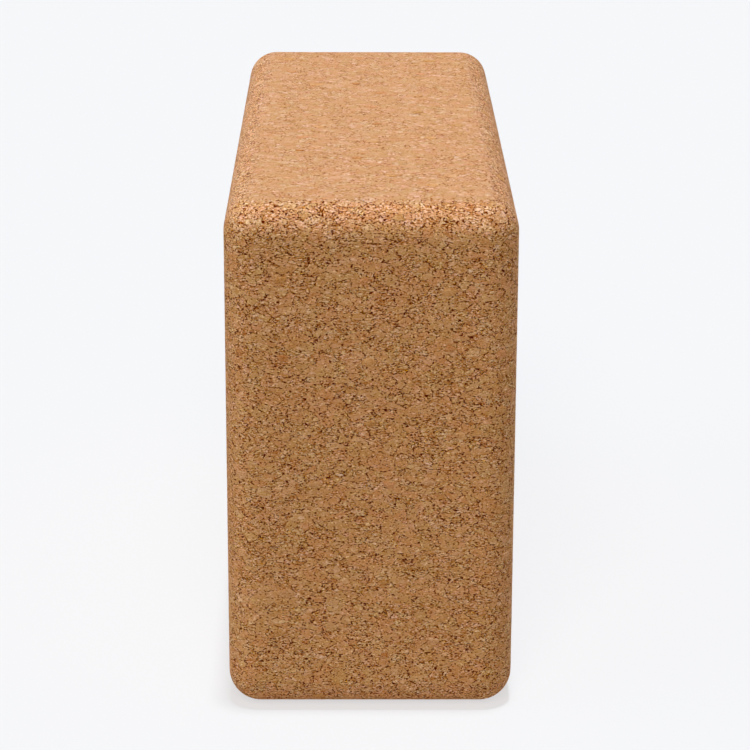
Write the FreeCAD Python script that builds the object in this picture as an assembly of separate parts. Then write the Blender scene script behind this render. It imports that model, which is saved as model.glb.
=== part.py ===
import FreeCAD, Part

import bisect
import itertools
import math
import os
import random
from collections import namedtuple

# Yoga block of pressed cork, standing on its long narrow face.
#
# Crushed cork granules are pressed with a binder into a slab. The block is sawn from that slab,
# sanded flat on six faces and rounded along its twelve edges. The sawn faces cut through the large
# granules, so each one ends flush with the surface and is held in the pocket that it pressed into
# the finer cork around it. Granules lie flat across the press direction, which is upright here.
#
# Frame: X across the thin way, Y along the length, Z up, origin under the middle of the base.

# Driving dimensions of the block, in millimetres
block_width = 83.0
block_length = 228.0
block_height = 152.0
edge_radius = 9.5

# Driving dimensions of the large granules, in millimetres
granule_length = 7.0        # widest a large granule grows, across the press direction
granule_depth = 2.6         # how far one reaches in under the sanded surface
granule_spread = 13.0       # mean clear distance from one large granule to the next on a face
edge_spread = 33.0          # the same along a rounded edge, where rounding tears most of them out
granule_clearance = 2.0     # least cork that always stays between two of them

# Form of the granules, as plain ratios and angles
press_flattening = 0.55     # height over length, from the press
inner_share = 0.55          # width at the inner end over the width at the surface
least_growth = 0.7          # smallest granule of a kind over its largest
least_corner = 0.78         # nearest corner of an outline over its furthest
corner_wander = 0.22        # how far a corner strays along the outline, in corner steps
edge_swing = 15.0           # how far a granule on a rounded edge leans from its middle, degrees

# Overlap of the uncut granules beyond the surface that trims them
trim_allowance = 1.5

# The kinds of large granule that show, with their share of all, largest size and corners
Kind = namedtuple("Kind", "node share size corners")
kinds = (
    Kind("pale_granules", 0.30, 1.00, 6),
    Kind("honey_granules", 0.24, 0.95, 6),
    Kind("russet_granules", 0.20, 0.85, 5),
    Kind("olive_granules", 0.14, 0.85, 5),
    Kind("bark_granules", 0.12, 0.70, 5),
)
crush_seed = 9

# A place for one granule: a point on the surface, two directions along it and the way out
Seat = namedtuple("Seat", "point along across outward")

X, Y, Z = (FreeCAD.Vector(*row) for row in ((1, 0, 0), (0, 1, 0), (0, 0, 1)))
axes = (X, Y, Z)
half = (block_width / 2, block_length / 2, block_height / 2)
centre = Z * half[2]


def rounded_block():
    """The sanded block before its granules are told apart, every edge and corner rounded."""
    corner = centre - X * half[0] - Y * half[1] - Z * half[2]
    block = Part.makeBox(block_width, block_length, block_height, corner)
    return block.makeFillet(edge_radius, block.Edges)


def cells(run, length, spread):
    """Splits a run into equal cells for one granule each: their middles, and the room to stray."""
    count = max(1, int(run / (length + spread)))
    cell = run / count
    room = max(0.0, (cell - length - granule_clearance) / 2)
    return [(index + 0.5) * cell - run / 2 for index in range(count)], room


def face_seats(chance):
    """Seats strewn over the flat middle of each of the six faces, one list for each face."""
    for normal in range(3):
        first, second = (normal + 1) % 3, (normal + 2) % 3
        run_first, run_second = (2 * (half[way] - edge_radius) for way in (first, second))
        middles_first, room_first = cells(run_first, granule_length, granule_spread)
        middles_second, room_second = cells(run_second, granule_length, granule_spread)
        for side in (-1, 1):
            outward = axes[normal] * side
            seats = []
            for a, b in itertools.product(middles_first, middles_second):
                point = (centre + outward * half[normal]
                         + axes[first] * (a + chance.uniform(-room_first, room_first))
                         + axes[second] * (b + chance.uniform(-room_second, room_second)))
                seats.append(Seat(point, axes[first], axes[second], outward))
            yield seats


def edge_seats(chance, length):
    """Seats strewn along the straight stretches of the rounded edges, one list for each way they run."""
    for run in range(3):
        first, second = (run + 1) % 3, (run + 2) % 3
        middles, room = cells(2 * (half[run] - edge_radius), length, edge_spread)
        seats = []
        for side_first, side_second, middle in itertools.product((-1, 1), (-1, 1), middles):
            lean = math.radians(45 + chance.uniform(-edge_swing, edge_swing))
            outward = (axes[first] * (side_first * math.cos(lean))
                       + axes[second] * (side_second * math.sin(lean)))
            arc_centre = (centre
                          + axes[first] * side_first * (half[first] - edge_radius)
                          + axes[second] * side_second * (half[second] - edge_radius)
                          + axes[run] * (middle + chance.uniform(-room, room)))
            point = arc_centre + outward * edge_radius
            seats.append(Seat(point, axes[run], outward.cross(axes[run]), outward))
        yield seats


def flattened(direction):
    """Length of a granule along a direction, as a share of its length across the press."""
    return 1 / FreeCAD.Vector(direction.x, direction.y, direction.z / press_flattening).Length


def crushed_outline(seat, length, corners, chance):
    """Corners of a granule where the surface cuts it, as offsets from its seat."""
    start = chance.uniform(0, 2 * math.pi)
    outline = []
    for corner in range(corners):
        wander = chance.uniform(-corner_wander, corner_wander)
        angle = start + 2 * math.pi * (corner + wander) / corners
        direction = seat.along * math.cos(angle) + seat.across * math.sin(angle)
        reach = length / 2 * flattened(direction) * chance.uniform(least_corner, 1)
        outline.append(direction * reach)
    return outline


def tapered_solid(outer, inner):
    """A solid with flat faces between two loops of as many points."""
    loops = [Part.Face(Part.makePolygon(loop + loop[:1])) for loop in (outer, inner)]
    sides = []
    for index in range(len(outer)):
        after = (index + 1) % len(outer)
        around = [outer[index], outer[after], inner[after], inner[index], outer[index]]
        sides.append(Part.Face(Part.makePolygon(around)))
    solid = Part.Solid(Part.Shell(loops + sides))
    if solid.Volume < 0:
        solid.reverse()
    return solid


def granule(seat, length, corners, chance, block):
    """One crushed granule, narrowing inwards and trimmed flush with the block's surface."""
    outline = crushed_outline(seat, length, corners, chance)
    taper = (1 - inner_share) / granule_depth
    outer_share = 1 + taper * trim_allowance
    outer = [seat.point + seat.outward * trim_allowance + step * outer_share for step in outline]
    inner = [seat.point - seat.outward * granule_depth + step * inner_share for step in outline]
    return tapered_solid(outer, inner).common(block).Solids[0]


def mixed_kinds(count, chance):
    """Kinds for so many granules, each kind in its share and all in a chance order."""
    bounds = list(itertools.accumulate(kind.share for kind in kinds))
    places = [(index + 0.5) / count * bounds[-1] for index in range(count)]
    mixed = [kinds[bisect.bisect(bounds, place)] for place in places]
    chance.shuffle(mixed)
    return mixed


def large_granules(block):
    """Every large granule, as a list of solids for each kind."""
    chance = random.Random(crush_seed)
    edge_length = min(granule_length, edge_radius)
    patches = [(seats, granule_length) for seats in face_seats(chance)]
    patches += [(seats, edge_length) for seats in edge_seats(chance, edge_length)]
    grown = {kind.node: [] for kind in kinds}
    for seats, widest in patches:
        for seat, kind in zip(seats, mixed_kinds(len(seats), chance)):
            length = widest * kind.size * chance.uniform(least_growth, 1)
            grown[kind.node].append(granule(seat, length, kind.corners, chance, block))
    return grown


def pressed_body(block, grown):
    """The finer cork and its binder, with a pocket round each large granule."""
    return block.cut([solid for solids in grown.values() for solid in solids]).Solids[0]


def main():
    os.makedirs("parts", exist_ok=True)
    block = rounded_block()
    grown = large_granules(block)
    body = pressed_body(block, grown)
    body.exportStep("parts/pressed_body.step")
    held = 0.0
    for node, solids in grown.items():
        group = Part.makeCompound(solids)
        group.exportStep(f"parts/{node}.step")
        held += group.Volume
        print(f"{node}: {len(solids)} granules, {group.Volume:.0f} mm3")
    print(f"pressed_body: {body.Volume:.0f} mm3, block {block.Volume:.0f} mm3, "
          f"left over {block.Volume - body.Volume - held:.3f} mm3")


main()
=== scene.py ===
# %% [markdown]
# A yoga block is sawn from a slab of crushed cork that was pressed together with a little binder.
# What makes it look like cork, and not like a painted brick, is its grain: thousands of granules,
# pressed flat, in slightly different tans, with short dark crevices where they don't quite meet.
# The scene takes the block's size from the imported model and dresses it. First come tools for nodes
# and the camera, then the grain and its finishes, the block, its large granules, and the light.

# %% Load the fixed frame
import math

import bpy
from mathutils import Matrix, Vector


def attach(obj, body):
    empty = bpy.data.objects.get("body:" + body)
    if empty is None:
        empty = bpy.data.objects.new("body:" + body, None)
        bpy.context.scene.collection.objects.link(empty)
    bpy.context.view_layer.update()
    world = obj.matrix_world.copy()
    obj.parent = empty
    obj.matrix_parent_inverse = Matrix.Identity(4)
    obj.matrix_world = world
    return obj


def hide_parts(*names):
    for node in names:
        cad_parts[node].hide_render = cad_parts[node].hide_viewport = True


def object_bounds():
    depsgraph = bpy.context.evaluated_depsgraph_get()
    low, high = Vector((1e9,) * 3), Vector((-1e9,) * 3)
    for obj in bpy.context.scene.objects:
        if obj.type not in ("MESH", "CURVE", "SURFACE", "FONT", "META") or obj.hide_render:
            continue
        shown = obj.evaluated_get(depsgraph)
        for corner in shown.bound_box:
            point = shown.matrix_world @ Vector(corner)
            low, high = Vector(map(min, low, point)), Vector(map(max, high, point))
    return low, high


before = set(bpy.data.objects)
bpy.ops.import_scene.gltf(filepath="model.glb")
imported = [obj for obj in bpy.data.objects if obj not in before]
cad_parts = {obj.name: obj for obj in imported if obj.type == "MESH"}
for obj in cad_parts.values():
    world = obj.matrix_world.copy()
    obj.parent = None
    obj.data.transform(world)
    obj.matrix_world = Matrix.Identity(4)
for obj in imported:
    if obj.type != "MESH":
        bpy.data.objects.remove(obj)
cad_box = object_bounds()
low, high = (Vector(corner) for corner in cad_box)
print("CAD box in metres:", [round(side, 4) for side in high - low])

# %% [markdown]
# Grain is easier to think about in millimetres, and Blender works in metres. So sizes of the block
# are read from the frame in metres, and sizes of the grain are written in millimetres and turned
# into metres where they move a vertex.

# %% Measures of the block
MILLIMETRE = 0.001
EDGE_RADIUS = 9.5 * MILLIMETRE

block_size = high - low
block_middle = (low + high) / 2
print("the block stands", round(block_size.z / MILLIMETRE), "mm high")

# %% [markdown]
# A sum on a surface takes one Math node for each sign, which is hard to read as a list of nodes. A
# Value holds one output socket, and Python's own signs on it add those nodes, so that a sum in the
# script reads like a sum on paper. A plain number may come first too, as in 1 - mask.


# %% A value that sums can work on
class Value:
    """One output socket that Python's operators can work on."""

    def __init__(self, graph, socket):
        self.graph = graph
        self.socket = socket

    def maths(self, operation, *terms):
        return self.graph.node("ShaderNodeMath", {"operation": operation}, dict(enumerate(terms)))["Value"]

    def __add__(self, other):
        return self.maths("ADD", self, other)

    def __sub__(self, other):
        return self.maths("SUBTRACT", self, other)

    def __rsub__(self, other):
        return self.maths("SUBTRACT", other, self)

    def __mul__(self, other):
        return self.maths("MULTIPLY", self, other)

    def __abs__(self):
        return self.maths("ABSOLUTE", self)

    def __lt__(self, other):
        return self.maths("LESS_THAN", self, other)

    def __gt__(self, other):
        return self.maths("GREATER_THAN", self, other)

    def larger(self, other):
        return self.maths("MAXIMUM", self, other)

    def smaller(self, other):
        return self.maths("MINIMUM", self, other)

    __radd__ = __add__
    __rmul__ = __mul__


# %% [markdown]
# All other nodes come from one method. It takes a node's type, its settings and then what goes into
# its sockets. The short methods after it name the nodes that cork needs most. They serve shaders and
# geometry alike, because both kinds of tree share their Math and texture nodes.


# %% A graph that adds nodes
class Graph:
    """Adds nodes to one tree and links them."""

    def __init__(self, tree):
        self.tree = tree

    def node(self, kind, settings=None, inputs=None):
        """Adds a node, sets it up, fills its sockets and gives its outputs by name."""
        made = self.tree.nodes.new(kind)
        for name, setting in (settings or {}).items():
            if name == "stops":
                self.fill_ramp(made.color_ramp, setting)
            else:
                setattr(made, name, setting)
        for name, given in (inputs or {}).items():
            socket = made.inputs[name] if isinstance(name, int) else self.open_socket(made, name)
            if isinstance(given, Value):
                self.tree.links.new(given.socket, socket)
            else:
                socket.default_value = given
        return {socket.name: Value(self, socket) for socket in made.outputs if socket.enabled}

    def open_socket(self, made, name):
        return next(socket for socket in made.inputs if socket.enabled and socket.name == name)

    def fill_ramp(self, ramp, stops):
        while len(ramp.elements) < len(stops):
            ramp.elements.new(1.0)
        for element, (position, colour) in zip(ramp.elements, stops):
            element.position = position
            element.color = colour

    def vector(self, operation, *terms):
        """Vector Math on vectors or colours, with a plain number as its scale."""
        inputs = dict(enumerate(terms))
        if operation == "SCALE":
            inputs = {0: terms[0], "Scale": terms[1]}
        made = self.node("ShaderNodeVectorMath", {"operation": operation}, inputs)
        return made.get("Vector", made.get("Value"))

    def joined(self, x, y, z):
        """A vector of three numbers."""
        return self.node("ShaderNodeCombineXYZ", None, {"X": x, "Y": y, "Z": z})["Vector"]

    def parts(self, vector):
        """The three numbers of a vector or colour."""
        made = self.node("ShaderNodeSeparateXYZ", None, {"Vector": vector})
        return made["X"], made["Y"], made["Z"]

    def ease(self, value, start, end):
        """0 before start and 1 after end, with a smooth step between."""
        settings = {"interpolation_type": "SMOOTHSTEP"}
        return self.node("ShaderNodeMapRange", settings,
                         {"Value": value, "From Min": start, "From Max": end})["Result"]

    def blend(self, factor, first, second):
        """Mixes two colours."""
        return self.node("ShaderNodeMix", {"data_type": "RGBA"},
                         {"Factor": factor, "A": first, "B": second})["Result"]

    def noise(self, place, size, detail=1.0, roughness=0.5):
        """Cloudy noise with blotches of about that size, in the units of the place."""
        return self.node("ShaderNodeTexNoise", None, {
            "Vector": place, "Scale": 1 / size, "Detail": detail, "Roughness": roughness})

    def crumbs(self, place, size, feature="F1"):
        """Random cells of about that size: each cell's chance colour, or the distance to its rim."""
        return self.node("ShaderNodeTexVoronoi", {"feature": feature},
                         {"Vector": place, "Scale": 1 / size})


# %% [markdown]
# The camera comes before the finishes, because grain is judged at the size it has in the picture. It
# stands a little above the block and looks at the small end face, with a long lens from close by. A
# constraint could aim it, but three angles say the same, and they come from a fit to the outline.

# %% Camera
SENSOR_WIDTH = 36.0
PICTURE_WIDTH = 750
focal_pixels = 2759.2
camera_place = Vector((-0.0046, low.y - 0.7384, 0.3388))
camera_yaw, camera_pitch, camera_roll = 0.0077, 0.3092, 0.0033

forward = Vector((math.sin(camera_yaw) * math.cos(camera_pitch),
                  math.cos(camera_yaw) * math.cos(camera_pitch),
                  -math.sin(camera_pitch)))
level_right = Vector((math.cos(camera_yaw), -math.sin(camera_yaw), 0.0))
level_up = level_right.cross(forward)
right = math.cos(camera_roll) * level_right + math.sin(camera_roll) * level_up
up = right.cross(forward)

camera_data = bpy.data.cameras.new("photo_camera")
camera_data.sensor_width = SENSOR_WIDTH
camera_data.lens = focal_pixels * SENSOR_WIDTH / PICTURE_WIDTH
camera = bpy.data.objects.new("photo_camera", camera_data)
turn = Matrix((right, up, -forward)).transposed()
camera.matrix_world = Matrix.Translation(camera_place) @ turn.to_4x4()
bpy.context.scene.collection.objects.link(camera)
bpy.context.scene.camera = camera
print("lens", round(camera_data.lens, 1), "mm")

# %% [markdown]
# The grain is one pattern that two trees read. The shader colours it, and the geometry raises and
# lowers it, so a granule's colour and its relief always agree. It is a stack of random cells: coarse
# chips, of which some are whole, and finer granules that fill the rest. Stretching the place before
# the cells are looked up presses them flat, and a little noise bends their rims.

# %% Grain of pressed cork
# Sizes in millimetres
COARSE = 3.3
FINE = 1.5
CRUMB = 0.35
BEND_SIZE = 1.4
BEND_REACH = 1.2
LAYER_SIZE = 0.9

PRESS_FLATTENING = 0.6
WHOLE_SHARE = 0.5
LAYER_THINNESS = 4.0
LAYER_LEAN = 1.1
HALF = (0.5, 0.5, 0.5)


def bent_grain(graph, place):
    """Places in millimetres, moved so that cells in them come out pressed flat, with bent rims."""
    pressed = graph.vector("MULTIPLY", place, (1.0, 1.0, 1 / PRESS_FLATTENING))
    push = graph.vector("SUBTRACT", graph.noise(pressed, BEND_SIZE, 2.0, 0.6)["Color"], HALF)
    return graph.vector("ADD", pressed, graph.vector("SCALE", push, BEND_REACH))


def cork_grain(graph, place):
    """The chips at a place in millimetres, shared by the finish and the relief."""
    bent = bent_grain(graph, place)
    chance = graph.crumbs(bent, COARSE)["Color"]
    coarse = graph.parts(chance)
    rim = graph.crumbs(bent, COARSE, "DISTANCE_TO_EDGE")["Distance"] * COARSE
    return {"bent": bent, "chance": chance, "coarse": coarse, "coarse_rim": rim,
            "whole": coarse[1] < WHOLE_SHARE}


def streaks(graph, place, chance):
    """Fine pressed layers that lean a little differently in each granule."""
    lean = graph.vector("SCALE", graph.vector("SUBTRACT", chance, HALF), LAYER_LEAN)
    turned = graph.node("ShaderNodeVectorRotate", {"rotation_type": "EULER_XYZ"},
                        {"Vector": place, "Rotation": lean})["Vector"]
    layered = graph.vector("MULTIPLY", turned, (1.0, 1.0, LAYER_THINNESS))
    return graph.noise(layered, LAYER_SIZE, 2.0, 0.6)["Fac"]


print("chips of", COARSE, "mm, granules of", FINE, "mm and crumbs of", CRUMB, "mm")

# %% [markdown]
# A finish turns one number, the tone, into a colour: deep brown in the crevices, whose dark is
# partly painted shade, tan in the middle and cream on the palest crumbs. A ramp does this, because
# it keeps the crevices brown, where plain darkening would leave them dull. A granule's own tint is
# laid over the ramp's colour.


# %% Colours of cork
def linear(red, green, blue):
    """A colour as a picture editor shows it, 0 to 255, as the linear one that a shader takes."""
    def channel(level):
        share = level / 255
        return share / 12.92 if share <= 0.04045 else ((share + 0.055) / 1.055) ** 2.4
    return (channel(red), channel(green), channel(blue), 1.0)


TONES = (
    (0.00, linear(94, 26, 0)),
    (0.25, linear(159, 75, 0)),
    (0.45, linear(187, 117, 50)),
    (0.62, linear(203, 143, 85)),
    (0.80, linear(220, 167, 115)),
    (1.00, linear(248, 206, 160)),
)
MIDDLE_TONE = 0.668


def cork_colour(graph, tone, warm, grey):
    """The colour of a tone, made redder by warm and less yellow by grey."""
    plain = graph.node("ShaderNodeValToRGB", {"stops": TONES}, {"Fac": tone})["Color"]
    return graph.vector("MULTIPLY", plain, graph.joined(1 + warm, 1 - warm, 1 + grey))


print("the ramp has", len(TONES), "stops")

# %% [markdown]
# Sanded cork is matt and scatters nearly all of its light, with a faint bloom at a slant. One shader
# serves the body and the large granules, and each finish hands it a colour, a roughness and the
# height of its finest relief. That relief is a bump, because no mesh of a fair size could hold it.

# %% The shader that all the cork shares
SHINE = 0.02
BLOOM = 0.03
BLOOM_ROUGHNESS = 0.45
BLOOM_TINT = linear(250, 226, 200)
TONE_RELIEF = 0.10
CREVICE_RELIEF = 0.10


def object_millimetres(graph):
    place = graph.node("ShaderNodeTexCoord")["Object"]
    return graph.vector("SCALE", place, 1 / MILLIMETRE)


def new_finish(name):
    """An empty material and the graph to add to."""
    material = bpy.data.materials.new(name)
    material.use_nodes = True
    material.node_tree.nodes.clear()
    return material, Graph(material.node_tree)


def cork_surface(graph, colour, roughness, tone, crevice_and_shade):
    """Ends a finish: pale crumbs stand out a little, and crevices lie deeper."""
    height = TONE_RELIEF * (tone - MIDDLE_TONE) - CREVICE_RELIEF * crevice_and_shade
    normal = graph.node("ShaderNodeBump", None, {
        "Strength": 1.0, "Distance": MILLIMETRE, "Height": height})["Normal"]
    shader = graph.node("ShaderNodeBsdfPrincipled", None, {
        "Base Color": colour, "Roughness": roughness, "Normal": normal, "Specular IOR Level": SHINE,
        "Sheen Weight": BLOOM, "Sheen Roughness": BLOOM_ROUGHNESS, "Sheen Tint": BLOOM_TINT})["BSDF"]
    graph.node("ShaderNodeOutputMaterial", None, {"Surface": shader})


print("shine", SHINE, "and bloom", BLOOM)

# %% [markdown]
# The press packs the lying faces, the top and the base, more tightly than the upright ones. Rounding
# the edges of those two faces cuts across the layers and tears granules out. Both are worked out from
# the place on the block, which needs no painted map and follows the block's size. The finish also
# paints the lying faces paler and greyer, a painted sheen, and the torn edges a little lighter and
# paler, painted light on the rounding.

# %% Where the block is dense or torn, and where sheen and light are painted
# Depths in millimetres under the top or base where its density has faded and where it is whole
DENSE_FADED = 1.6
DENSE_WHOLE = 0.03
# Share of the edge radius, in from where the rounding starts, at which the edge is fully torn
TORN_SHARE = 0.4


def lying_face(graph, place):
    """1 on the top and the base, which lie across the press direction and are the densest; a sheen is
    painted there.
    """
    reach = abs(graph.parts(place)[2] - block_middle.z / MILLIMETRE)
    flat = block_size.z / 2 / MILLIMETRE
    return graph.ease(reach, flat - DENSE_FADED, flat - DENSE_WHOLE)


def torn_and_painted_light_edge(graph, place):
    """1 on the rounded edges of the top and base, where sanding crosses the layers and light is painted
    on.
    """
    inner_half = (block_size / 2 - Vector((EDGE_RADIUS,) * 3)) / MILLIMETRE
    from_middle = graph.vector("SUBTRACT", place, block_middle / MILLIMETRE)
    beyond = graph.vector("SUBTRACT", graph.vector("ABSOLUTE", from_middle), inner_half)
    x, y, z = graph.parts(graph.vector("MAXIMUM", beyond, (0.0, 0.0, 0.0)))
    return graph.ease(z.smaller(x.larger(y)), 0.0, TORN_SHARE * EDGE_RADIUS / MILLIMETRE)


print("edges are fully torn", round(TORN_SHARE * EDGE_RADIUS / MILLIMETRE, 1), "mm in")

# %% [markdown]
# Where granules meet, small voids stay open. They show as dark dashes, which are broken outlines of
# chips and of the granules between them. Their dark is partly painted shade in the voids, which are
# also bumped deeper. Noise opens only some, because a cork face has short dashes and not a net of
# lines. It opens a few more in loose patches, near the top and on the torn edges.

# %% Gaps between granules
# Sizes in millimetres of one opening and of a loose patch
GAP_SIZE = 0.58
PATCH_SIZE = 4.0
# Looseness at which gaps start to open and at which they are open
CHIP_OPENING = (0.550, 0.602)
FINE_OPENING = (0.565, 0.612)
# Noise between which a tight patch turns into a loose one
LOOSE_PATCH = (0.35, 0.65)
# Shares of the block's height between which the cork gets looser
NEAR_TOP = (0.70, 0.95)
# How much looser it is on a torn edge, in a loose patch and near the top
LOOSER_ON_EDGE = 0.012
LOOSER_IN_PATCH = 0.02
LOOSER_NEAR_TOP = 0.006


def looseness_of(graph, place, bent, torn_edge_and_painted_light):
    """How loosely the granules lie, around a half."""
    patch = graph.ease(graph.noise(bent, PATCH_SIZE)["Fac"], *LOOSE_PATCH)
    height = graph.parts(place)[2] * (MILLIMETRE / block_size.z)
    return (graph.noise(bent, GAP_SIZE)["Fac"] + LOOSER_ON_EDGE * torn_edge_and_painted_light
            + LOOSER_IN_PATCH * (patch - 0.5) + LOOSER_NEAR_TOP * graph.ease(height, *NEAR_TOP))


print("openings of", GAP_SIZE, "mm in patches of", PATCH_SIZE, "mm")

# %% [markdown]
# The pressed body shows all levels of the grain at once. Each adds its part to the tone: chips and
# granules a little, crumbs and layers more, and a dash takes most away. A dash has a darker, browner
# ring round it, and beyond that a pale band, a painted highlight where a rim would catch the light.
# Whole chips are calmer than the rest.

# %% Finish of the pressed body
# Distances in millimetres from a rim at which a mark starts to fade and at which it has gone
CHIP_CREVICE, FINE_CREVICE = (0.07, 0.21), (0.06, 0.19)
CHIP_RING, FINE_RING = (0.20, 0.32), (0.18, 0.30)
CHIP_HIGHLIGHT, FINE_HIGHLIGHT = (0.50, 0.85), (0.45, 0.70)
# Distances between which the painted highlight beside a dash rises
HIGHLIGHT_START = (0.20, 0.34)
# Crumbs are longer than they are high
CRUMB_STRETCH = (0.65, 0.65, 1.0)
# Distance from a crumb's middle at which a pore starts and at which it is open
PORE = (0.58, 0.74)
# Chance, from 0 to 1, above which a crumb, a granule or a chip turns pale
PALE_CRUMB, PALE_GRANULE, PALE_CHIP = (0.88, 0.94), (0.86, 0.90), (0.84, 0.90)
# Shares of the broken grain that whole chips and dense faces smooth away
CALM_OF_CHIPS = 0.66
CALM_OF_DENSE = 0.55
# Share of the chips' calm that a torn edge takes back
CALM_TORN = 0.4
# Shares of the gaps that a dense face closes
CHIPS_CLOSED = 0.85
GRANULES_CLOSED = 0.40


def pressed_cork():
    material, graph = new_finish("pressed_cork")
    place = object_millimetres(graph)
    grain = cork_grain(graph, place)
    bent, coarse, chip_rim = grain["bent"], grain["coarse"], grain["coarse_rim"]
    fine = graph.parts(graph.crumbs(bent, FINE)["Color"])
    fine_rim = graph.crumbs(bent, FINE, "DISTANCE_TO_EDGE")["Distance"] * FINE
    crumb_cells = graph.crumbs(graph.vector("MULTIPLY", bent, CRUMB_STRETCH), CRUMB)
    crumb = graph.parts(crumb_cells["Color"])
    streak = streaks(graph, place, grain["chance"])

    torn_edge_and_painted_light = torn_and_painted_light_edge(graph, place)
    dense_and_painted_sheen = lying_face(graph, place)
    packed = dense_and_painted_sheen * dense_and_painted_sheen
    calm = CALM_OF_CHIPS * grain["whole"] * (1 - CALM_TORN * torn_edge_and_painted_light)
    broken = (1 - calm) * (1 - CALM_OF_DENSE * dense_and_painted_sheen)
    looseness = looseness_of(graph, place, bent, torn_edge_and_painted_light)
    chip_gap = graph.ease(looseness, *CHIP_OPENING) * (1 - CHIPS_CLOSED * packed)
    fine_gap = graph.ease(looseness, *FINE_OPENING) * broken * (1 - GRANULES_CLOSED * packed)

    def along_gaps(chip_mark, fine_mark):
        """A mark that runs along the open gaps of chips and of granules."""
        return (chip_gap * chip_mark).larger(fine_gap * fine_mark)

    def inside(rim, band):
        return 1 - graph.ease(rim, *band)

    def painted_highlight_of(rim, band):
        return graph.ease(rim, *HIGHLIGHT_START) - graph.ease(rim, *band)

    crevice_and_shade = along_gaps(inside(chip_rim, CHIP_CREVICE), inside(fine_rim, FINE_CREVICE))
    # A ring round each dash is made darker and browner.
    brown_ring = along_gaps(inside(chip_rim, CHIP_RING), inside(fine_rim, FINE_RING))
    # The pale band beside a dash is a painted highlight.
    painted_highlight = along_gaps(painted_highlight_of(chip_rim, CHIP_HIGHLIGHT), painted_highlight_of(fine_rim, FINE_HIGHLIGHT))
    pore = graph.ease(crumb_cells["Distance"], *PORE) * broken
    fleck = graph.ease(crumb[1], *PALE_CRUMB) * broken
    pale_granule = graph.ease(fine[2], *PALE_GRANULE)
    pale_chip = graph.ease(coarse[0], *PALE_CHIP)

    # The weights say how far each thing moves the tone, where 0 is a crevice and 1 is cream.
    # The dark of a crevice is partly painted shade in its void.
    tone = (MIDDLE_TONE + 0.04 * (coarse[0] - 0.5) + 0.03 * pale_chip
            + 0.06 * (fine[0] - 0.5) + 0.09 * pale_granule
            + 0.53 * (crumb[0] - 0.5) * broken + 0.20 * fleck - 0.20 * pore
            + (0.34 - 0.10 * dense_and_painted_sheen) * (streak - 0.5)
            + 0.58 * painted_highlight * (1 - 0.45 * torn_edge_and_painted_light) - 2.0 * crevice_and_shade - 0.16 * brown_ring
            - 0.028 * dense_and_painted_sheen + 0.018 * torn_edge_and_painted_light)
    # The dense faces are painted paler and greyer, in the tone and in the tints, as a painted sheen.
    grey = 0.20 * (fine[1] - 0.5) - 0.02 + 0.06 * pale_granule + 0.26 * dense_and_painted_sheen - 1.0 * brown_ring + 0.03 * torn_edge_and_painted_light
    # The torn edges are painted a little lighter and paler, painted light on the rounding.
    warm = 0.013 + 0.055 * (coarse[2] - 0.5) - 0.040 * dense_and_painted_sheen + 0.006 * torn_edge_and_painted_light + 0.15 * brown_ring
    roughness = 0.62 + 0.2 * crevice_and_shade + 0.08 * (streak - 0.5)
    cork_surface(graph, cork_colour(graph, tone, warm, grey), roughness, tone, crevice_and_shade)
    return material


body_finish = pressed_cork()
print("finish", body_finish.name, "has", len(body_finish.node_tree.nodes), "nodes")

# %% [markdown]
# A large granule is one piece of bark, so it is smoother than the crumbs around it: layers, a few
# pores, and a broken dark line where it meets its pocket, whose dark is partly painted shade in the
# gap. Five kinds differ a little in tone and tint. Each single granule has a tone of its own, which
# its mesh carries as an attribute, and so one finish for each kind is enough.

# %% Finishes of the large granules
# Node, material slot, how much lighter, how much redder, how much less yellow
GRANULE_KINDS = (
    ("pale_granules", "pale_cork", 0.06, 0.000, 0.10),
    ("honey_granules", "honey_cork", 0.00, 0.000, -0.04),
    ("russet_granules", "russet_cork", -0.02, 0.032, 0.08),
    ("olive_granules", "olive_cork", -0.04, -0.028, 0.04),
    ("bark_granules", "bark_cork", -0.13, 0.010, 0.10),
)
# Size in millimetres of one opening round a granule or in it
OPENING_SIZE = 0.8
# Noise and nearness to the rim at which the line round a granule starts and at which it is open
POCKET_OPENING, POCKET_RIM = (0.46, 0.58), (0.25, 0.75)
# Noise and distance from a crumb's middle at which a pore in it starts and at which it is open
PORE_OPENING, PORE_REACH = (0.52, 0.60), (0.60, 0.76)


def granule_cork(name, lighter, redder, less_yellow):
    material, graph = new_finish(name)
    place = object_millimetres(graph)
    own_tone = graph.node("ShaderNodeAttribute", {"attribute_name": "tone"})["Fac"]
    rim = graph.node("ShaderNodeAttribute", {"attribute_name": "rim"})["Fac"]
    bent = bent_grain(graph, place)
    crumb_cells = graph.crumbs(bent, CRUMB)
    crumb = graph.parts(crumb_cells["Color"])
    streak = streaks(graph, place, graph.joined(own_tone, 1 - own_tone, 0.5))

    gaps = graph.noise(bent, OPENING_SIZE)["Fac"]
    # The dark line round a granule is partly painted shade in the gap.
    crevice_and_shade = graph.ease(gaps, *POCKET_OPENING) * graph.ease(rim, *POCKET_RIM)
    pore = graph.ease(gaps, *PORE_OPENING) * graph.ease(crumb_cells["Distance"], *PORE_REACH)
    tone = (MIDDLE_TONE - 0.03 + lighter + 0.12 * (own_tone - 0.5) + 0.26 * (crumb[0] - 0.5)
            + 0.55 * (streak - 0.5) - 0.75 * crevice_and_shade - 0.45 * pore)
    warm = redder + 0.03 * (own_tone - 0.5)
    grey = less_yellow + 0.06 * (crumb[1] - 0.5)
    roughness = 0.60 + 0.2 * crevice_and_shade + 0.08 * (streak - 0.5)
    cork_surface(graph, cork_colour(graph, tone, warm, grey), roughness, tone, crevice_and_shade)
    return material


granule_finishes = {row[0]: granule_cork(*row[1:]) for row in GRANULE_KINDS}
print("granule finishes:", ", ".join(material.name for material in granule_finishes.values()))
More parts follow.
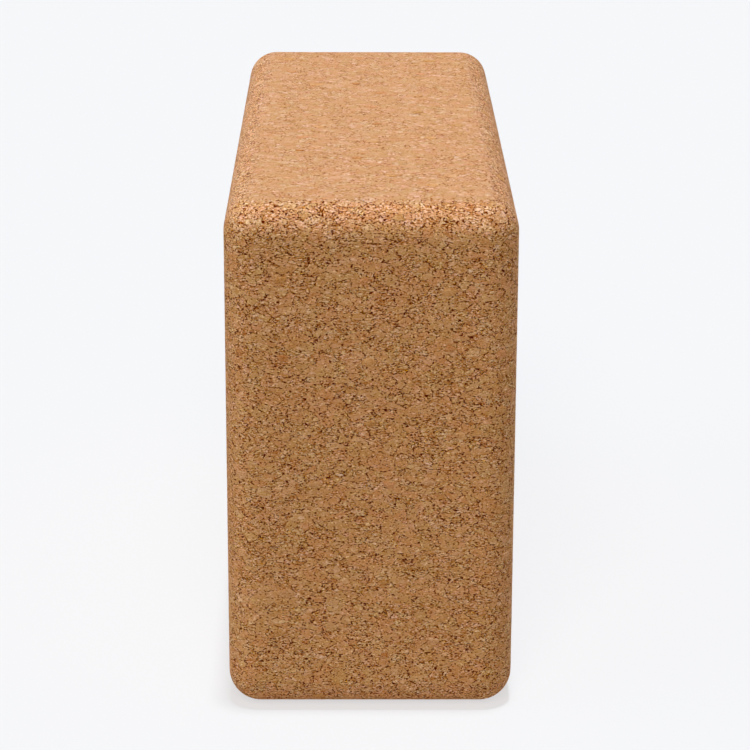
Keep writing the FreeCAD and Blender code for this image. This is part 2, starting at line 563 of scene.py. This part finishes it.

# %% [markdown]
# Shapes that follow a rule or repeat come from Geometry Nodes. A Maker holds one such tree. Its sizes
# are named inputs, which a modifier takes by the socket's identifier. The tree ends by making its
# instances real and giving the finish, and what it makes is kept as a plain mesh.


# %% A maker for geometry trees
class Maker:
    """A geometry tree with named inputs, and the modifier run that turns it into a plain mesh."""

    KINDS = {float: "NodeSocketFloat", int: "NodeSocketInt", Vector: "NodeSocketVector",
             bpy.types.Material: "NodeSocketMaterial"}

    def __init__(self, name, sizes):
        self.tree = bpy.data.node_groups.new(name, "GeometryNodeTree")
        self.graph = Graph(self.tree)
        self.sizes = sizes
        sockets = self.tree.interface
        sockets.new_socket("Geometry", in_out="INPUT", socket_type="NodeSocketGeometry")
        self.identifiers = {}
        for label, size in sizes.items():
            socket = sockets.new_socket(label, in_out="INPUT", socket_type=self.KINDS[type(size)])
            self.identifiers[label] = socket.identifier
        sockets.new_socket("Geometry", in_out="OUTPUT", socket_type="NodeSocketGeometry")
        self.inputs = self.graph.node("NodeGroupInput")

    def close(self, geometry):
        """Ends the tree: smooth, realized and with its finish."""
        smooth = self.graph.node("GeometryNodeSetShadeSmooth", None, {"Geometry": geometry})["Geometry"]
        real = self.graph.node("GeometryNodeRealizeInstances", None, {"Geometry": smooth})["Geometry"]
        finish = {"Geometry": real, "Material": self.inputs["Finish"]}
        done = self.graph.node("GeometryNodeSetMaterial", None, finish)["Geometry"]
        self.graph.node("NodeGroupOutput", None, {"Geometry": done})

    def make(self, name, start, changed=None):
        """Runs the tree on a starting mesh and gives a new plain object at the origin."""
        piece = bpy.data.objects.new(name, start)
        bpy.context.scene.collection.objects.link(piece)
        modifier = piece.modifiers.new("maker", "NODES")
        modifier.node_group = self.tree
        for label, size in {**self.sizes, **(changed or {})}.items():
            modifier[self.identifiers[label]] = size
        evaluated = piece.evaluated_get(bpy.context.evaluated_depsgraph_get())
        made = bpy.data.meshes.new_from_object(evaluated)
        piece.modifiers.clear()
        piece.data = made
        made.name = name
        return piece


# %% [markdown]
# The block could be a cube with a Bevel modifier, but one formula rounds it and also says which way
# is out at each point, which the grain needs. A point of a finely gridded box is pulled to an inner
# box that is smaller by the edge radius, and then pushed out by that radius. Then the chips and
# their rims are let down a little, each by its own amount.

# %% The block
BODY_STEP = 1.2 * MILLIMETRE
# Depths in millimetres
SANDING_DROP = 0.08
CHIP_RELIEF = 0.05
# Shares of the relief that come from whole chips and from their rims
CHIP_PART = 0.45
RIM_PART = 0.55
RIM_WIDTH = 1.0


def stand_for(piece, node):
    """Lets a piece ride with the block in place of its CAD node, which it hides."""
    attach(piece, "root")
    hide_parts(node)
    print(piece.name, "has", sum(len(face.vertices) - 2 for face in piece.data.polygons), "triangles")


def inner_point(graph, place, size, radius):
    """The nearest point to a place in the inner box, and the way out from it."""
    half = graph.vector("SUBTRACT", graph.vector("SCALE", size, 0.5), graph.joined(radius, radius, radius))
    kept = graph.vector("MINIMUM", graph.vector("MAXIMUM", place, graph.vector("SCALE", half, -1.0)), half)
    return kept, graph.vector("NORMALIZE", graph.vector("SUBTRACT", place, kept))


def block_maker():
    """The tree that makes the block from nothing but its sizes."""
    maker = Maker("pressed_block", {
        "Size": block_size, "Edge radius": EDGE_RADIUS, "Middle": block_middle,
        "Relief": CHIP_RELIEF, "Finish": body_finish})
    graph, inputs = maker.graph, maker.inputs
    size, radius = inputs["Size"], inputs["Edge radius"]
    counts = graph.parts(graph.vector("SCALE", size, 1 / BODY_STEP))
    box = graph.node("GeometryNodeMeshCube", None, {
        "Size": size, "Vertices X": counts[0], "Vertices Y": counts[1], "Vertices Z": counts[2]})["Mesh"]
    position = graph.node("GeometryNodeInputPosition")["Position"]
    kept, outward = inner_point(graph, position, size, radius)
    rounded = graph.vector("ADD", graph.vector("ADD", kept, inputs["Middle"]),
                           graph.vector("SCALE", outward, radius))
    grain = cork_grain(graph, graph.vector("SCALE", rounded, 1 / MILLIMETRE))
    rim = 1 - graph.ease(grain["coarse_rim"], 0.0, RIM_WIDTH)
    sink = SANDING_DROP + inputs["Relief"] * (CHIP_PART * grain["coarse"][2] + RIM_PART * rim)
    lowered = graph.vector("SUBTRACT", rounded, graph.vector("SCALE", outward, sink * MILLIMETRE))
    maker.close(graph.node("GeometryNodeSetPosition", None, {
        "Geometry": box, "Position": lowered})["Geometry"])
    return maker


block = block_maker().make("pressed_body_grain", bpy.data.meshes.new("pressed_body_grain"))
stand_for(block, "pressed_body")

# %% [markdown]
# The large granules repeat by the hundred, so one tree dresses them all. It starts from a copy of
# their solids, whose loose triangles are merged first. Then it splits each face once and pushes the
# points about along the surface, so that no outline stays straight. Last, it sets the outer face in
# from its rim and lets that rim down into the body. The sanded faces stay flush with the block.

# %% The large granules
MERGE_REACH = 0.005 * MILLIMETRE
SKIN = 0.12 * MILLIMETRE
WANDER_SIZE = 1.6
FACING_OUT = 0.6


def granule_maker():
    """The tree that dresses the solids of one kind of granule. Stray and Rim drop are in millimetres."""
    maker = Maker("large_granules", {
        "Size": block_size, "Edge radius": EDGE_RADIUS, "Middle": block_middle, "Stray": 0.9,
        "Rim drop": 0.16, "Rim share": 0.84, "Chance": 7, "Finish": body_finish})
    graph, inputs = maker.graph, maker.inputs
    size, radius, middle = inputs["Size"], inputs["Edge radius"], inputs["Middle"]

    def set_down(geometry, kept, outward, depth):
        """Moves points to a depth under the surface, straight in from it."""
        reach = graph.vector("SCALE", outward, radius - depth)
        seat = graph.vector("ADD", graph.vector("ADD", kept, middle), reach)
        return graph.node("GeometryNodeSetPosition", None, {
            "Geometry": geometry, "Position": seat})["Geometry"]

    def marked(geometry, name, value):
        """Stores a number on each point for the finish to read."""
        return graph.node("GeometryNodeStoreNamedAttribute", {"data_type": "FLOAT", "domain": "POINT"}, {
            "Geometry": geometry, "Name": name, "Value": value})["Geometry"]

    merged = graph.node("GeometryNodeMergeByDistance", None, {
        "Geometry": inputs["Geometry"], "Distance": MERGE_REACH})["Geometry"]
    split = graph.node("GeometryNodeSubdivideMesh", None, {"Mesh": merged, "Level": 1})["Mesh"]
    position = graph.node("GeometryNodeInputPosition")["Position"]
    place = graph.vector("SUBTRACT", position, middle)
    kept, outward = inner_point(graph, place, size, radius)
    depth = radius - graph.vector("LENGTH", graph.vector("SUBTRACT", place, kept))
    wander = graph.noise(graph.vector("SCALE", position, 1 / MILLIMETRE), WANDER_SIZE)["Color"]
    push = graph.vector("SCALE", graph.vector("SUBTRACT", wander, HALF), inputs["Stray"] * MILLIMETRE)
    push_out = graph.vector("SCALE", outward, graph.vector("DOT_PRODUCT", push, outward))
    along = graph.vector("SUBTRACT", push, push_out)
    new_kept, new_outward = inner_point(graph, graph.vector("ADD", place, along), size, radius)
    flush_depth = depth * (depth > SKIN)
    pushed = set_down(split, new_kept, new_outward, flush_depth)

    facing = graph.vector("DOT_PRODUCT", graph.node("GeometryNodeInputNormal")["Normal"], outward)
    face_out = graph.node("GeometryNodeExtrudeMesh", {"mode": "FACES"}, {
        "Mesh": pushed, "Selection": (depth < 2 * SKIN) * (facing > FACING_OUT),
        "Offset Scale": 0.0, "Individual": False})
    inset = graph.node("GeometryNodeScaleElements", {"domain": "FACE"}, {
        "Geometry": face_out["Mesh"], "Selection": face_out["Top"],
        "Scale": inputs["Rim share"]})["Geometry"]
    not_top = 1 - face_out["Top"]
    rim_depth = (depth < SKIN) * not_top * inputs["Rim drop"] * MILLIMETRE
    seated = set_down(inset, kept, outward, flush_depth + rim_depth)
    island = graph.node("GeometryNodeInputMeshIsland")["Island Index"]
    own_tone = graph.node("FunctionNodeRandomValue", None, {
        "ID": island, "Seed": inputs["Chance"]})["Value"]
    maker.close(marked(marked(seated, "rim", not_top), "tone", own_tone))
    return maker


large_granules = granule_maker()
for node, slot, *_ in GRANULE_KINDS:
    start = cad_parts[node].data.copy()
    name = node.replace("granules", "large_granules")
    stand_for(large_granules.make(name, start, {"Finish": granule_finishes[node]}), node)

# %% [markdown]
# The light is a studio's for a small thing. A lamp overhead and a weaker, softer one above the camera
# throw the shadows. The fills throw none: one from the left, two nearly level from behind, and one
# from below for the light that a pale floor sends back. Area lamps would do, but sun lamps light the
# whole floor alike, so it stays one colour to the edge of the picture.

# %% Lamps
DAYLIGHT = (0.92, 1.08, 1.37)
COOL_WHITE = (0.95, 1.05, 1.22)
WHITE = (1.0, 1.0, 1.0)
WARM_WHITE = (1.1, 1.0, 0.75)
# Name, colour, light on a facing surface, lean from straight above, way round, width, shadow
LAMPS = (
    ("overhead", DAYLIGHT, 0.69, 1.0, 90, 4, True),
    ("above_camera", WHITE, 0.375, 42, -5, 30, True),
    ("left_fill", COOL_WHITE, 0.27, 65, -80, 40, False),
    ("right_back_fill", WHITE, 0.26, 95, 140, 40, False),
    ("left_back_fill", WHITE, 0.22, 95, -150, 40, False),
    ("from_floor", WARM_WHITE, 0.25, 180, 0, 60, False),
)

scene = bpy.context.scene
scene.view_settings.view_transform = "Standard"


def sun_lamp(name, colour, light, lean, way_round, width, shadow):
    """A lamp far away, with its angles in degrees; way_round turns it from the camera's side."""
    data = bpy.data.lights.new(name, "SUN")
    data.color = colour
    data.energy = light * math.pi
    data.angle = math.radians(width)
    data.use_shadow = shadow
    lamp = bpy.data.objects.new(name, data)
    lamp.rotation_euler = (math.radians(lean), 0.0, math.radians(way_round))
    scene.collection.objects.link(lamp)


for row in LAMPS:
    sun_lamp(*row)
print("lamps:", ", ".join(row[0] for row in LAMPS))

# %% [markdown]
# A little even light comes from all round. A wall that looks white would give far too much of it, so
# the world has two strengths: one for what is seen directly, and a weak one for what lights things.

# %% World
BACKGROUND = linear(246, 247, 249)
ALL_ROUND = 0.18


def seen_directly(graph):
    """1 for what the camera, a reflection or a clear material sees, and 0 for what lights things."""
    rays = graph.node("ShaderNodeLightPath")
    return rays["Is Camera Ray"] + rays["Is Glossy Ray"] + rays["Is Transmission Ray"]


def pale_world():
    world = bpy.data.worlds.new("studio")
    world.use_nodes = True
    world.node_tree.nodes.clear()
    graph = Graph(world.node_tree)
    light, wall = (graph.node("ShaderNodeBackground", None, {
        "Color": BACKGROUND, "Strength": strength})["Background"] for strength in (ALL_ROUND, 1.0))
    mixed = graph.node("ShaderNodeMixShader", None, {0: seen_directly(graph), 1: light, 2: wall})["Shader"]
    graph.node("ShaderNodeOutputWorld", None, {"Surface": mixed})
    return world


scene.world = pale_world()
print("light from all round:", ALL_ROUND)

# %% [markdown]
# The floor is pale and runs on to the horizon. A plain floor would show its end against the wall, so
# this one glows for the most part in the wall's own colour, and the lit rest keeps the block's soft
# shadow. For the light that it sends back it has a darker paint, so that the block's foot stays dark.

# %% Floor
FLOOR_REACH = 30.0
FLOOR_GLOW = 0.65
PAINT_THAT_LIGHTS = linear(172, 167, 156)
PAINT_THAT_SHOWS = linear(226, 218, 206)


def floor_finish():
    material, graph = new_finish("pale_floor")
    seen = seen_directly(graph)
    paint = graph.blend(seen, PAINT_THAT_LIGHTS, PAINT_THAT_SHOWS)
    lit = graph.node("ShaderNodeBsdfDiffuse", None, {"Color": paint})["BSDF"]
    glow = graph.node("ShaderNodeEmission", None, {"Color": BACKGROUND, "Strength": 1.0})["Emission"]
    faint = graph.node("ShaderNodeMixShader", None, {0: seen * FLOOR_GLOW, 1: lit, 2: glow})["Shader"]
    graph.node("ShaderNodeOutputMaterial", None, {"Surface": faint})
    return material


floor_mesh = bpy.data.meshes.new("floor")
corners = [(x * FLOOR_REACH, y * FLOOR_REACH, 0.0) for x, y in ((-1, -1), (1, -1), (1, 1), (-1, 1))]
floor_mesh.from_pydata(corners, [], [(0, 1, 2, 3)])
floor_mesh.materials.append(floor_finish())
floor = bpy.data.objects.new("floor", floor_mesh)
scene.collection.objects.link(floor)
print("the floor reaches", FLOOR_REACH, "m each way")
